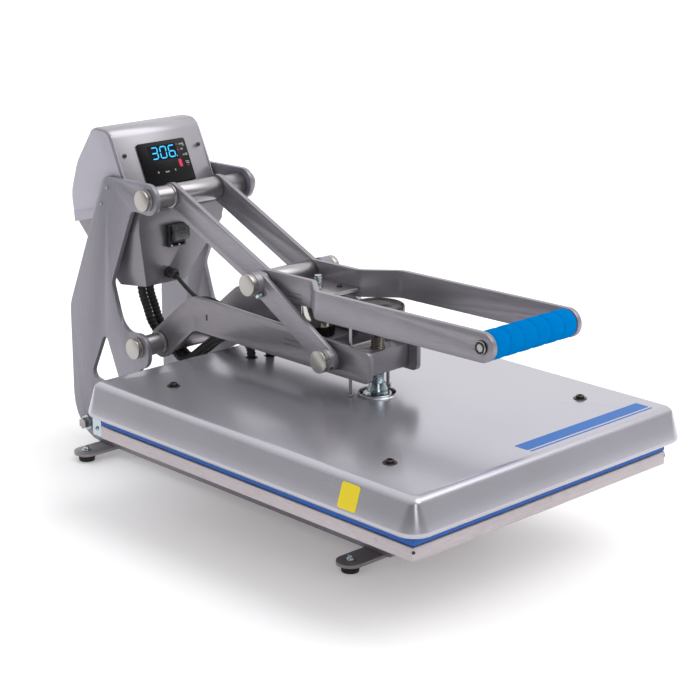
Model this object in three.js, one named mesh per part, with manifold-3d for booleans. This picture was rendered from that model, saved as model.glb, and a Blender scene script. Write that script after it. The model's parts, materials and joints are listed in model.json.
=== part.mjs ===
// Clam-type heat press for vinyl transfers, in millimetres, +Z up, +Y towards the tower.
// While it is built, X = 0 is the centre plane, Y = 0 the lower platen's front edge and Z = 0 the table.
import * as THREE from "three";
import { mergeVertices } from "three/addons/utils/BufferGeometryUtils.js";
import Module from "manifold-3d";

const wasm = await Module();
wasm.setup();

// ---- driving dimensions ----
const GAP = 0.3; // air between pieces that touch
const FRONT_Y = -16; // front rim of the heat cover
const REAR_Y = 735; // rear edge of the tower plates

const PLATEN = { halfWidth: 203.2, depth: 508, bottom: 93, thick: 16, corner: 2.5 };
const PAD_THICK = 9.5;
const PAD_TOP = PLATEN.bottom + PLATEN.thick + PAD_THICK;

const COVER = { top: 162.4, wall: 2 };
// The cover's skin from its lip up: how far it stands proud of the bed, its plan corner radius and its height.
const COVER_LEVELS = [
  { proud: 13, corner: 21, z: 122.5 },
  { proud: 15.6, corner: 23.6, z: 124.4 },
  { proud: -FRONT_Y, corner: 24, z: 127 },
  { proud: 6.5, corner: 10, z: 156 },
  { proud: 3.6, corner: 8, z: 160 },
  { proud: -3, corner: 6, z: COVER.top },
];
const COVER_HOLE = 21;
const COVER_COLLAR = { radius: 24, top: 164.6 };

const TOWER = { inner: 71, outer: 77, bottom: 13.3 };
const UPPER = { y: 571, z: 347.5 }; // axis of the lever
const LOWER = { y: 597, z: 157.5 }; // axis of the lower arm
const KNEE = { y: 401, z: 273 }; // axis between lever and short links
const NOSE = { y: 285, z: 206 }; // axis between short links and lower arm
const SPINDLE_Y = 255;
const MAGNET_Y = 353;

const PIN = 9;
const PIN_END = 85.5;
const HEAD = 13;
const TUBE = 13;

const LEVER = { inner: 33, outer: 39, width: 32, gripInner: 64, gripOuter: 70 };
const JOG = { rear: 322, front: 284 };
const GRIP = { y: 36, z: 278.5, radius: 15.7 };
const ARM = { inner: 35, outer: 41 };
const LINK = { inner: 45, outer: 51, radius: 13.5 };
const BLOCK = { front: 240.5, rear: 274, bottom: 190.6, top: 217 };
const ARM_FRONT = 227;

const BAR = { width: 32, thick: 4, bottom: 9 };
const FRONT_FEET = { x: 112, y: 183 };
const REAR_FEET = { x: 108.5, y: 668.5 };
const FOOT_RADIUS = 11;

const HOOD = { half: 67, wall: 2.4, sideOuter: 70, inset: 3 };
const HOOD_LOWER = [612, 336]; // lower front edge of the hood in Y and Z
const FACE_TILT = THREE.MathUtils.degToRad(25.6);
const DISPLAY = { y: 628.8, z: 374.9, width: 75, height: 55, thick: 1.4 };
const BOX = { half: 66, front: 601, wall: 1.8 };
const SWITCH = { x: -12, z: 290.5, width: 27, height: 28, deep: 7 };
const GLAND = { x: -22.7, z: 244, radius: 7.5 };
const CONDUIT = 5.2;
const LEAD = 2.6;

// ---- materials ----
const finish = (color, roughness, metalness) =>
  new THREE.MeshStandardMaterial({ color, roughness, metalness });
const paint = finish(0x9c9ba0, 0.45, 0.35);
const barPaint = finish(0x8f8f92, 0.4, 0.5);
const coverPaint = finish(0xaeadb2, 0.25, 0.3);
const nickel = finish(0xc9c4bd, 0.3, 1);
const steel = finish(0xa9abae, 0.4, 1);
const aluminium = finish(0xb9b7b9, 0.5, 1);
const blackPlastic = finish(0x17181a, 0.5, 0);
const blackRubber = finish(0x1b1a19, 0.8, 0);
const blueSilicone = finish(0x2f66b0, 0.6, 0);
const blueFoam = finish(0x0f86d8, 0.65, 0);
const glossBlack = finish(0x08080a, 0.12, 0);

// ---- geometry helpers ----
const Y_AXIS = new THREE.Vector3(0, 1, 0);
const Z_AXIS = new THREE.Vector3(0, 0, 1);
const X_AXIS = new THREE.Vector3(1, 0, 0);
const UP_FROM_YZ = new THREE.Matrix4().makeBasis(Y_AXIS, Z_AXIS, X_AXIS);

function solid(geometry) {
  const bare = geometry.index ? geometry.toNonIndexed() : geometry.clone();
  bare.deleteAttribute("normal");
  bare.deleteAttribute("uv");
  const merged = mergeVertices(bare, 1e-4);
  return new wasm.Manifold(
    new wasm.Mesh({
      numProp: 3,
      vertProperties: merged.attributes.position.array,
      triVerts: new Uint32Array(merged.index.array),
    }),
  );
}

function geometryOf(shape) {
  const mesh = shape.getMesh();
  const geometry = new THREE.BufferGeometry();
  geometry.setAttribute("position", new THREE.BufferAttribute(mesh.vertProperties, 3));
  geometry.setIndex(new THREE.BufferAttribute(mesh.triVerts, 1));
  const flat = geometry.toNonIndexed();
  flat.computeVertexNormals();
  return flat;
}

const join = (first, ...rest) => rest.reduce((sum, piece) => sum.add(piece), first);
const cut = (body, ...tools) => tools.reduce((left, tool) => left.subtract(tool), body);

function box(x0, x1, y0, y1, z0, z1) {
  const geometry = new THREE.BoxGeometry(x1 - x0, y1 - y0, z1 - z0);
  geometry.translate((x0 + x1) / 2, (y0 + y1) / 2, (z0 + z1) / 2);
  return solid(geometry);
}

function rodX(y, z, radius, x0, x1, sides = 24) {
  const geometry = new THREE.CylinderGeometry(radius, radius, x1 - x0, sides);
  geometry.rotateZ(Math.PI / 2);
  geometry.translate((x0 + x1) / 2, y, z);
  return solid(geometry);
}

function rodY(x, z, radius, y0, y1, sides = 24) {
  const geometry = new THREE.CylinderGeometry(radius, radius, y1 - y0, sides);
  geometry.translate(x, (y0 + y1) / 2, z);
  return solid(geometry);
}

function rodZ(x, y, radius, z0, z1, sides = 24, topRadius = radius) {
  const geometry = new THREE.CylinderGeometry(topRadius, radius, z1 - z0, sides);
  geometry.rotateX(Math.PI / 2);
  geometry.translate(x, y, (z0 + z1) / 2);
  return solid(geometry);
}

// Corners are [u, v, radius]; each sharp corner is swapped for an arc of its radius.
function roundedOutline(corners, degreesPerStep = 15) {
  const points = [];
  corners.forEach(([u, v, radius = 0], i) => {
    const here = new THREE.Vector2(u, v);
    const before = corners[(i + corners.length - 1) % corners.length];
    const after = corners[(i + 1) % corners.length];
    if (!radius) {
      points.push(here);
      return;
    }
    const back = new THREE.Vector2(before[0], before[1]).sub(here).normalize();
    const ahead = new THREE.Vector2(after[0], after[1]).sub(here).normalize();
    const half = Math.acos(THREE.MathUtils.clamp(back.dot(ahead), -1, 1)) / 2;
    const centre = back.clone().add(ahead).normalize();
    centre.multiplyScalar(radius / Math.sin(half)).add(here);
    const start = here.clone().addScaledVector(back, radius / Math.tan(half)).sub(centre);
    const end = here.clone().addScaledVector(ahead, radius / Math.tan(half)).sub(centre);
    const turn = Math.atan2(start.cross(end), start.dot(end));
    const degrees = THREE.MathUtils.radToDeg(Math.abs(turn));
    const steps = Math.max(2, Math.round(degrees / degreesPerStep));
    for (let k = 0; k <= steps; k++) {
      const spoke = start.clone().rotateAround(new THREE.Vector2(), (turn * k) / steps);
      points.push(spoke.add(centre));
    }
  });
  return points;
}

function outlineShape(corners, holes = []) {
  const shape = new THREE.Shape(roundedOutline(corners));
  shape.holes = holes.map((hole) => new THREE.Path(roundedOutline(hole)));
  return shape;
}

// An outline in Y and Z, made thick along X.
function plateX(corners, x0, x1, holes = []) {
  const depth = x1 - x0;
  const geometry = new THREE.ExtrudeGeometry(outlineShape(corners, holes), { depth, bevelEnabled: false });
  geometry.applyMatrix4(UP_FROM_YZ);
  geometry.translate(x0, 0, 0);
  return solid(geometry);
}

// An outline in X and Y, made thick along Z.
function plateZ(corners, z0, z1, holes = []) {
  const depth = z1 - z0;
  const geometry = new THREE.ExtrudeGeometry(outlineShape(corners, holes), { depth, bevelEnabled: false });
  geometry.translate(0, 0, z0);
  return solid(geometry);
}

const rectangle = (x0, x1, y0, y1, radius) => [
  [x0, y0, radius],
  [x1, y0, radius],
  [x1, y1, radius],
  [x0, y1, radius],
];

// A body whose sections, from below to above, are rounded rectangles given as
// { half, front, rear, corner, z }.
function stackedBody(sections) {
  const loops = sections.map(({ half, front, rear, corner, z }) =>
    roundedOutline(rectangle(-half, half, front, rear, corner)).map((p) => [p.x, p.y, z]),
  );
  const count = loops[0].length;
  const positions = loops.flat();
  const middle = (sections[0].front + sections[0].rear) / 2;
  positions.push([0, middle, sections[0].z], [0, middle, sections.at(-1).z]);
  const index = [];
  loops.slice(1).forEach((_, level) => {
    for (let i = 0; i < count; i++) {
      const a = level * count + i;
      const b = level * count + ((i + 1) % count);
      index.push(a, b, b + count, a, b + count, a + count);
    }
  });
  const under = positions.length - 2;
  const over = positions.length - 1;
  const last = (loops.length - 1) * count;
  for (let i = 0; i < count; i++) {
    const next = (i + 1) % count;
    index.push(under, next, i, over, last + i, last + next);
  }
  const geometry = new THREE.BufferGeometry();
  geometry.setAttribute("position", new THREE.Float32BufferAttribute(positions.flat(), 3));
  geometry.setIndex(index);
  return solid(geometry);
}

function flexible(points, radius, steps, sides = 8) {
  const extrudePath = new THREE.CatmullRomCurve3(points.map((p) => new THREE.Vector3(...p)));
  const section = new THREE.Shape();
  for (let i = 0; i < sides; i++) {
    const angle = (i / sides) * 2 * Math.PI;
    const move = i ? "lineTo" : "moveTo";
    section[move](radius * Math.cos(angle), radius * Math.sin(angle));
  }
  return solid(new THREE.ExtrudeGeometry(section, { steps, extrudePath, bevelEnabled: false }));
}

// ---- the group and its pieces ----
const press = new THREE.Group();
const work = new THREE.Group();
work.position.y = -(FRONT_Y + REAR_Y) / 2;
press.add(work);

function part(name, shape, material) {
  const mesh = new THREE.Mesh(geometryOf(shape), material);
  mesh.name = name;
  work.add(mesh);
  return shape;
}

const SIDES = [
  ["left", -1],
  ["right", 1],
];
// A span of |X| on one side, in rising order.
const span = (side, near, far) => (side < 0 ? [-far, -near] : [near, far]);

// ---- base ----
function footBar({ x, y }) {
  const end = x + BAR.width / 2;
  const outline = rectangle(-end, end, y - BAR.width / 2, y + BAR.width / 2, BAR.width / 2 - 0.01);
  return plateZ(outline, BAR.bottom, BAR.bottom + BAR.thick);
}

function rubberFoot(x, y) {
  return rodZ(x, y, FOOT_RADIUS - 1.1, 0, BAR.bottom - GAP, 20, FOOT_RADIUS);
}

function baseBeam() {
  const half = 46;
  const wall = 4;
  const bottom = BAR.bottom + BAR.thick + GAP;
  const top = bottom + 42;
  const outer = box(-half, half, FRONT_FEET.y - 22, 640, bottom, top);
  const inner = box(-half + wall, half - wall, FRONT_FEET.y - 30, 650, bottom + wall, top - wall);
  return cut(outer, inner);
}

function pedestal() {
  const beamTop = BAR.bottom + BAR.thick + GAP + 42;
  const foot = plateZ(rectangle(-70, 70, 150, 370, 12), beamTop + GAP, beamTop + 8);
  const post = cut(
    box(-45, 45, 180, 340, beamTop + 7, PLATEN.bottom - 7),
    box(-40, 40, 185, 341, beamTop + 9, PLATEN.bottom - 9),
  );
  const head = plateZ(rectangle(-110, 110, 130, 390, 14), PLATEN.bottom - 8, PLATEN.bottom - GAP);
  return join(foot, post, head);
}

function platenBody(bottom, top, half, front, rear) {
  const edge = 1.2;
  const section = (inset, z) => ({
    half: half - inset,
    front: front + inset,
    rear: rear - inset,
    corner: PLATEN.corner - inset,
    z,
  });
  const levels = [[edge, bottom], [0, bottom + edge], [0, top - edge], [edge, top]];
  return stackedBody(levels.map(([inset, z]) => section(inset, z)));
}

// ---- tower ----
const TOWER_OUTLINE = [
  [151, TOWER.bottom, 8],
  [REAR_Y, TOWER.bottom, 55],
  [REAR_Y, 187, 40],
  [655, 365, 16],
  [551, 367.3, 18],
  [551, 328, 18],
  [601, 330, 10],
  [646, 232, 14],
  [626, 172, 26],
  [576, 178, 19],
  [576, 136, 19],
  [598, 129, 10],
  [590, 62, 30],
  [151, 55, 12],
];
const TOWER_WINDOW = [
  [663, 166, 6],
  [696, 100, 9],
  [629, 90, 9],
];

function towerPlate(side) {
  const [x0, x1] = span(side, TOWER.inner, TOWER.outer);
  const plate = plateX(TOWER_OUTLINE, x0, x1, [TOWER_WINDOW]);
  const bore = PIN + GAP;
  return cut(
    plate,
    rodX(UPPER.y, UPPER.z, bore, x0 - 1, x1 + 1),
    rodX(LOWER.y, LOWER.z, bore, x0 - 1, x1 + 1),
    rodX(TIE_ROD.y, TIE_ROD.z, TIE_ROD.bolt + GAP, x0 - 1, x1 + 1, 16),
  );
}

function towerWeb() {
  const half = TOWER.inner - GAP;
  const upright = box(-half, half, 700, 705, 58, 74);
  const shelf = box(-half, half, 655, 702, 58, 63);
  return join(upright, shelf);
}

const TIE_ROD = { y: 708.5, z: 33, tube: 9, bolt: 5, headRadius: 7.4 };

function tieRod() {
  const half = TOWER.inner - GAP;
  const head = (x0, x1) => rodX(TIE_ROD.y, TIE_ROD.z, TIE_ROD.headRadius, x0, x1, 6);
  return join(
    rodX(TIE_ROD.y, TIE_ROD.z, TIE_ROD.tube, -half, half, 20),
    rodX(TIE_ROD.y, TIE_ROD.z, TIE_ROD.bolt, -TOWER.outer - 1, TOWER.outer + 1, 16),
    head(-TOWER.outer - 8, -TOWER.outer - GAP),
    head(TOWER.outer + GAP, TOWER.outer + 8),
  );
}

function headedPin(at, end, headInner) {
  const groove = 2;
  const shaft = rodX(at.y, at.z, PIN, -end + 1, end - 1);
  const heads = SIDES.map(([, side]) => {
    const [x0, x1] = span(side, headInner, end);
    const [g0, g1] = span(side, headInner + 2, headInner + 2 + groove);
    const ring = cut(rodX(at.y, at.z, HEAD + 1, g0, g1), rodX(at.y, at.z, HEAD - 1.5, g0 - 1, g1 + 1));
    return cut(rodX(at.y, at.z, HEAD, x0, x1), ring);
  });
  return join(shaft, ...heads);
}

function spacerTube(at, near, far, radius = TUBE) {
  return cut(rodX(at.y, at.z, radius, near, far), rodX(at.y, at.z, PIN + GAP, near - 1, far + 1));
}

function towerSpacer(at, side, inner) {
  const washerThick = 3.4;
  const outer = TOWER.inner - GAP;
  const washer = spacerTube(at, ...span(side, inner, inner + washerThick), TUBE + 1.6);
  return join(washer, spacerTube(at, ...span(side, inner + washerThick - 0.2, outer)));
}

// ---- control hood ----
const HOOD_OUTLINE = [
  [...HOOD_LOWER, 2],
  [652, 421, 19],
  [684, 421, 18],
  [720, 372, 60],
  [735.4, 332, 40],
  [731, 304, 8],
];

// The hood's outline drawn in by the same distance on every side.
function insetOutline(corners, distance) {
  return corners.map(([u, v, radius], i) => {
    const [pu, pv] = corners[(i + corners.length - 1) % corners.length];
    const [nu, nv] = corners[(i + 1) % corners.length];
    const back = new THREE.Vector2(u - pu, v - pv).normalize();
    const ahead = new THREE.Vector2(nu - u, nv - v).normalize();
    // A counter-clockwise outline has its inside on the left of each edge, a clockwise one on the right.
    const winding = Math.sign(THREE.ShapeUtils.area(corners.map(([a, b]) => new THREE.Vector2(a, b))));
    const inwardBack = new THREE.Vector2(-back.y, back.x).multiplyScalar(winding);
    const inwardAhead = new THREE.Vector2(-ahead.y, ahead.x).multiplyScalar(winding);
    const move = inwardBack.clone().add(inwardAhead).normalize();
    move.multiplyScalar(distance / move.dot(inwardBack));
    return [u + move.x, v + move.y, Math.max(radius - distance, 0.5)];
  });
}

function hoodCover() {
  const shell = plateX(HOOD_OUTLINE, -HOOD.half, HOOD.half);
  const hollow = plateX(insetOutline(HOOD_OUTLINE, HOOD.wall), -HOOD.half - 1, HOOD.half + 1);
  const cablePass = box(-40, 40, 640, 705, 295, 345);
  return cut(shell, hollow, cablePass);
}

function hoodSide(side) {
  const [x0, x1] = span(side, HOOD.half + GAP, HOOD.sideOuter);
  return plateX(insetOutline(HOOD_OUTLINE, HOOD.inset), x0, x1);
}

function displayPanel() {
  const geometry = new THREE.ExtrudeGeometry(
    new THREE.Shape(
      roundedOutline(
        rectangle(-DISPLAY.width / 2, DISPLAY.width / 2, -DISPLAY.height / 2, DISPLAY.height / 2, 3),
      ),
    ),
    { depth: DISPLAY.thick, bevelEnabled: false },
  );
  geometry.rotateX(Math.PI / 2);
  geometry.translate(0, -GAP, 0);
  geometry.rotateX(-FACE_TILT);
  geometry.translate(0, DISPLAY.y, DISPLAY.z);
  return solid(geometry);
}

// ---- power box under the hood ----
const BOX_SIDE = [
  [BOX.front, 330, 7],
  [BOX.front, 231, 2],
  [654, 224, 5],
  [707, 273, 4],
  [731.5, 302, 3],
];
// The face loses its lower right corner along one line, and leans in a little on the left along another.
const BOX_CHAMFERS = [
  { topX: 66, topZ: 300, lowX: -1, lowZ: 226 },
  { topX: -66.2, topZ: 300, lowX: -57.5, lowZ: 231 },
];

// What lies below and outside of such a line, all through the box's depth.
function chamferWedge({ topX, topZ, lowX, lowZ }, shift) {
  const run = ((topX - lowX) / (topZ - lowZ)) * 60;
  const side = Math.sign(topX - lowX);
  const low = [lowX - run - side * shift, lowZ - 60];
  const high = [topX + run - side * shift, topZ + 60];
  const corner = [high[0], low[1]];
  const wedge = new THREE.Shape([low, corner, high].map(([x, z]) => new THREE.Vector2(x, z)));
  const geometry = new THREE.ExtrudeGeometry(wedge, { depth: 240, bevelEnabled: false });
  geometry.rotateX(Math.PI / 2);
  geometry.translate(0, BOX.front + 200, 0);
  return solid(geometry);
}

function controlBox() {
  const wedges = (shift) => BOX_CHAMFERS.map((line) => chamferWedge(line, shift));
  const outer = cut(plateX(BOX_SIDE, -BOX.half, BOX.half), ...wedges(0));
  const inset = insetOutline(BOX_SIDE, BOX.wall);
  const inner = cut(plateX(inset, -BOX.half + BOX.wall, BOX.half - BOX.wall), ...wedges(BOX.wall * 1.3));
  const openTop = plateX(
    [
      [620, 312],
      [700, 292],
      [700, 330],
      [620, 345],
    ],
    -50,
    50,
  );
  const switchHole = box(
    SWITCH.x - SWITCH.width / 2 + 2,
    SWITCH.x + SWITCH.width / 2 - 2,
    BOX.front - 5,
    BOX.front + 6,
    SWITCH.z - SWITCH.height / 2 + 2,
    SWITCH.z + SWITCH.height / 2 - 2,
  );
  const glandHole = rodY(GLAND.x, GLAND.z, 4, BOX.front - 5, BOX.front + 6, 16);
  return cut(outer, inner, openTop, switchHole, glandHole);
}

function switchFrame() {
  const { x, z, width, height, deep } = SWITCH;
  const [left, right] = [x - width / 2, x + width / 2];
  const frame = box(left, right, BOX.front - deep, BOX.front - GAP, z - height / 2, z + height / 2);
  const well = box(x - width / 2 + 4, x + width / 2 - 4, BOX.front - deep - 1, BOX.front + 1, z - 12, z + 8);
  return cut(frame, well);
}

const ROCKER = { y: BOX.front - 3.5, z: SWITCH.z - 2 };

function rocker() {
  const { x, width } = SWITCH;
  const shape = [
    [ROCKER.y - 4.6, ROCKER.z - 8.4, 1],
    [ROCKER.y - 2.6, ROCKER.z, 2],
    [ROCKER.y - 6.6, ROCKER.z + 8.4, 1],
    [ROCKER.y + 2.8, ROCKER.z + 5, 1],
    [ROCKER.y + 2.8, ROCKER.z - 5, 1],
  ];
  return plateX(shape, x - width / 2 + 5, x + width / 2 - 5);
}

function cableGland() {
  const { x, z, radius } = GLAND;
  return cut(
    join(
      rodY(x, z, radius, BOX.front - 5, BOX.front - GAP, 6),
      rodY(x, z, radius * 0.75, BOX.front - 11, BOX.front - 4.8, 16),
    ),
    rodY(x, z, LEAD + 2 * GAP, BOX.front - 12, BOX.front + 1, 12),
  );
}

function powerInlet() {
  const geometry = new THREE.BoxGeometry(27, 14, 20);
  geometry.rotateX(THREE.MathUtils.degToRad(-47.2));
  geometry.translate(-14, 685.7, 242.8);
  return solid(geometry);
}

// ---- lower arm ----
const ARM_OUTLINE = [
  [ARM_FRONT, 187, 7],
  [531, 187, 14],
  [599.7, 130.8, 18.3],
  [623.7, 160.2, 18.3],
  [536, 229.5, 26],
  [480, 229.5],
  [ARM_FRONT, 223.5, 7],
];

function armPlate(side) {
  const [x0, x1] = span(side, ARM.inner, ARM.outer);
  const bore = PIN + GAP;
  return cut(
    plateX(ARM_OUTLINE, x0, x1),
    rodX(LOWER.y, LOWER.z, bore, x0 - 1, x1 + 1),
    rodX(NOSE.y, NOSE.z, bore, x0 - 1, x1 + 1),
  );
}

const SPINDLE = { radius: 8, bottom: 156, top: 258 };
const GUIDE = { x: 30, y: 268, radius: 2, top: 244 };

function frontBlock() {
  const half = ARM.inner - GAP;
  return cut(
    box(-half, half, BLOCK.front, BLOCK.rear, BLOCK.bottom, BLOCK.top),
    rodZ(0, SPINDLE_Y, SPINDLE.radius + GAP, BLOCK.bottom - 1, BLOCK.top + 1),
    rodZ(-GUIDE.x, GUIDE.y, GUIDE.radius + GAP, BLOCK.bottom - 1, BLOCK.top + 1, 10),
    rodZ(GUIDE.x, GUIDE.y, GUIDE.radius + GAP, BLOCK.bottom - 1, BLOCK.top + 1, 10),
  );
}

const MAGNET = { radius: 20, bottom: 212, top: 263.2 };

function magnetMount() {
  const half = ARM.inner - GAP;
  const plate = box(-half, half, MAGNET_Y - 25, MAGNET_Y + 25, MAGNET.bottom - 6, MAGNET.bottom - GAP);
  return cut(plate, rodZ(0, MAGNET_Y, 5, MAGNET.bottom - 8, MAGNET.bottom + 1, 16));
}

function electromagnet() {
  return join(
    rodZ(0, MAGNET_Y, MAGNET.radius, MAGNET.bottom, MAGNET.top, 32),
    rodZ(0, MAGNET_Y, 4.6, MAGNET.bottom - 9, MAGNET.bottom + 1, 12),
  );
}

// ---- heat platen ----
function heatCover() {
  const skin = (inset) =>
    COVER_LEVELS.map(({ proud, corner, z }) => ({
      half: PLATEN.halfWidth + proud - inset,
      front: inset - proud,
      rear: PLATEN.depth + proud - inset,
      corner: corner - inset,
      z,
    }));
  const outer = stackedBody(skin(0));
  const hollow = stackedBody(
    skin(COVER.wall).map((level, i, all) => {
      const sinks = { 0: 3, [all.length - 2]: 1.5, [all.length - 1]: COVER.wall };
      return { ...level, z: level.z - (sinks[i] ?? 0.5) };
    }),
  );
  const wireHoles = CONDUIT_ENDS.map(([x, y]) => rodZ(x, y, CONDUIT + 2.3, 150, 170, 16));
  const collar = rodZ(0, SPINDLE_Y, COVER_COLLAR.radius, COVER.top - COVER.wall, COVER_COLLAR.top, 40);
  const shell = join(cut(outer, hollow), collar);
  return cut(shell, rodZ(0, SPINDLE_Y, COVER_HOLE, 150, 170, 40), ...wireHoles);
}

const HEAT = { half: 198, front: 4, rear: 506, top: PAD_TOP + 21 };

function heatPlaten() {
  return platenBody(PAD_TOP + GAP, HEAT.top, HEAT.half, HEAT.front, HEAT.rear);
}

function guideRod(side) {
  const [x, y] = [side * GUIDE.x, GUIDE.y];
  const base = COVER.top + GAP;
  return join(rodZ(x, y, GUIDE.radius, base, GUIDE.top, 12), rodZ(x, y, 3.8, base, base + 2.6, 6));
}

function spindleSocket() {
  const base = HEAT.top + GAP;
  return cut(
    join(rodZ(0, SPINDLE_Y, 30, base, base + 6, 32), rodZ(0, SPINDLE_Y, 16, base + 5, COVER.top - 1, 24)),
    rodZ(0, SPINDLE_Y, SPINDLE.radius + GAP, SPINDLE.bottom - GAP, COVER.top + 1),
  );
}

// ---- pressure spindle ----
function spindle() {
  return join(
    rodZ(0, SPINDLE_Y, SPINDLE.radius, SPINDLE.bottom, SPINDLE.top),
    rodZ(0, SPINDLE_Y, 11.5, 165, 174, 24),
    rodZ(0, SPINDLE_Y, 8.6, 173.5, 177, 24),
  );
}

function pressureKnob() {
  const disc = [
    [0, 253],
    [24, 253],
    [30, 256],
    [30.5, 258],
    [30.5, 265.5],
    [29, 267.5],
    [26.5, 267.5],
    [26, 266.6],
    [0, 266.6],
  ].map(([r, z]) => new THREE.Vector2(r, z));
  const geometry = new THREE.LatheGeometry(disc, 40);
  geometry.rotateX(Math.PI / 2);
  geometry.translate(0, SPINDLE_Y, 0);
  return cut(solid(geometry), rodZ(0, SPINDLE_Y, SPINDLE.radius + GAP, 250, SPINDLE.top + GAP));
}

// ---- lever with handle ----
const LEVER_SLOPE = Math.atan2(GRIP.z - (KNEE.z - 2.3), KNEE.y - GRIP.y);

function lever(side) {
  const half = LEVER.width / 2;
  // Seen from above: straight beside the knee, joggled outwards, straight again to the grip.
  const path = [
    [LEVER.outer, KNEE.y + 8],
    [LEVER.outer, JOG.rear, 14],
    [LEVER.gripOuter, JOG.front, 20],
    [LEVER.gripOuter, GRIP.y - 30],
    [LEVER.gripInner, GRIP.y - 30],
    [LEVER.gripInner, JOG.front - 1.8, 14],
    [LEVER.inner, JOG.rear - 1.8, 20],
    [LEVER.inner, KNEE.y + 8],
  ].map(([x, y, r]) => [side * x, y, r]);
  const rail = plateZ(path, 200, 350);
  const reach = GRIP.y - KNEE.y;
  const drop = Math.tan(LEVER_SLOPE) * reach;
  const profile = [
    [GRIP.y - half, GRIP.z - half, half - 0.01],
    [KNEE.y + 6, GRIP.z - half + drop, 2],
    [KNEE.y + 6, GRIP.z + half + drop, 2],
    [GRIP.y - half, GRIP.z + half, half - 0.01],
  ];
  const [o0, o1] = span(side, LEVER.inner - 5, LEVER.gripOuter + 5);
  const front = plateX(profile, o0, o1).intersect(rail);
  // The rear stretch runs from the knee up to the upper pivot.
  const along = new THREE.Vector2(UPPER.y - KNEE.y, UPPER.z - KNEE.z).normalize();
  const across = new THREE.Vector2(-along.y, along.x).multiplyScalar(half);
  const knee = new THREE.Vector2(KNEE.y, KNEE.z - 2).addScaledVector(along, -8);
  const top = new THREE.Vector2(UPPER.y, UPPER.z).addScaledVector(along, half);
  const rear = [
    [knee.x - across.x, knee.y - across.y, 8],
    [top.x - across.x, top.y - across.y, half - 0.01],
    [top.x + across.x, top.y + across.y, half - 0.01],
    [knee.x + across.x, knee.y + across.y, 1],
  ];
  const [x0, x1] = span(side, LEVER.inner, LEVER.outer);
  const bore = PIN + GAP;
  const [g0, g1] = span(side, LEVER.gripInner - 2, LEVER.gripOuter + 2);
  return cut(
    join(front, plateX(rear, x0, x1)),
    rodX(UPPER.y, UPPER.z, bore, x0 - 1, x1 + 1),
    rodX(KNEE.y, KNEE.z, bore, x0 - 1, x1 + 1),
    rodX(GRIP.y, GRIP.z, 4.3, g0, g1, 16),
  );
}

function strikePlate() {
  const half = LEVER.inner - GAP;
  const top = 268;
  const plate = box(-half, half, 319.5, 380.5, MAGNET.top + GAP, top);
  const stud = rodZ(0, MAGNET_Y, 3, top - 1, top + 15, 12);
  const nut = rodZ(0, MAGNET_Y, 6, top - 0.5, top + 4, 6);
  return join(plate, stud, nut);
}

function gripRod() {
  const half = LEVER.gripInner - GAP;
  return join(
    rodX(GRIP.y, GRIP.z, 9, -half, half, 16),
    rodX(GRIP.y, GRIP.z, 4, -LEVER.gripOuter - 1, LEVER.gripOuter + 1, 12),
    rodX(GRIP.y, GRIP.z, 7.5, -LEVER.gripOuter - 3.2, -LEVER.gripOuter - GAP, 20),
    rodX(GRIP.y, GRIP.z, 7.5, LEVER.gripOuter + GAP, LEVER.gripOuter + 3.2, 20),
  );
}

function grip() {
  const half = LEVER.gripInner - 2 * GAP;
  const bands = 6;
  const band = (2 * half) / bands;
  const points = [new THREE.Vector2(9.4, -half)];
  for (let i = 0; i < bands; i++) {
    const start = -half + i * band;
    points.push(new THREE.Vector2(GRIP.radius - 0.9, start));
    points.push(new THREE.Vector2(GRIP.radius, start + 2));
    points.push(new THREE.Vector2(GRIP.radius, start + band - 2));
  }
  points.push(new THREE.Vector2(GRIP.radius - 0.9, half));
  points.push(new THREE.Vector2(9.4, half));
  points.push(new THREE.Vector2(9.4, -half));
  const geometry = new THREE.LatheGeometry(points, 24);
  geometry.rotateZ(-Math.PI / 2);
  geometry.translate(0, GRIP.y, GRIP.z);
  return solid(geometry);
}

// ---- short links ----
function shortLink(side) {
  const along = new THREE.Vector2(KNEE.y - NOSE.y, KNEE.z - NOSE.z).normalize();
  const across = new THREE.Vector2(-along.y, along.x).multiplyScalar(LINK.radius);
  const low = new THREE.Vector2(NOSE.y, NOSE.z).addScaledVector(along, -LINK.radius);
  const high = new THREE.Vector2(KNEE.y, KNEE.z).addScaledVector(along, LINK.radius);
  const outline = [
    [low.x - across.x, low.y - across.y],
    [high.x - across.x, high.y - across.y],
    [high.x + across.x, high.y + across.y],
    [low.x + across.x, low.y + across.y],
  ].map(([y, z]) => [y, z, LINK.radius - 0.01]);
  const bore = PIN + GAP;
  const boss = (at, far) => rodX(at.y, at.z, LINK.radius - 0.4, ...span(side, LINK.outer - 1, far));
  const through = (at) => rodX(at.y, at.z, bore, ...span(side, LINK.inner - 1, KNEE_BOSS + 1));
  return cut(
    join(
      plateX(outline, ...span(side, LINK.inner, LINK.outer)),
      boss(KNEE, KNEE_BOSS),
      boss(NOSE, NOSE_BOSS),
    ),
    through(KNEE),
    through(NOSE),
  );
}

const KNEE_BOSS = 60.5;
const NOSE_BOSS = 57;

function kneeStub(side) {
  return join(
    rodX(KNEE.y, KNEE.z, PIN, ...span(side, LINK.inner + 0.2, KNEE_BOSS + 2)),
    rodX(KNEE.y, KNEE.z, HEAD, ...span(side, KNEE_BOSS + GAP, KNEE_BOSS + 8)),
  );
}

// The tube between the levers and the pin through it turn together, as one piece.
function kneeTube() {
  const end = LINK.inner - GAP;
  const middle = LEVER.inner - GAP;
  const washer = (side) => rodX(KNEE.y, KNEE.z, 12, ...span(side, LEVER.outer + GAP, end));
  return join(
    rodX(KNEE.y, KNEE.z, TUBE, -middle, middle),
    rodX(KNEE.y, KNEE.z, PIN, -end, end),
    washer(-1),
    washer(1),
  );
}

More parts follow.
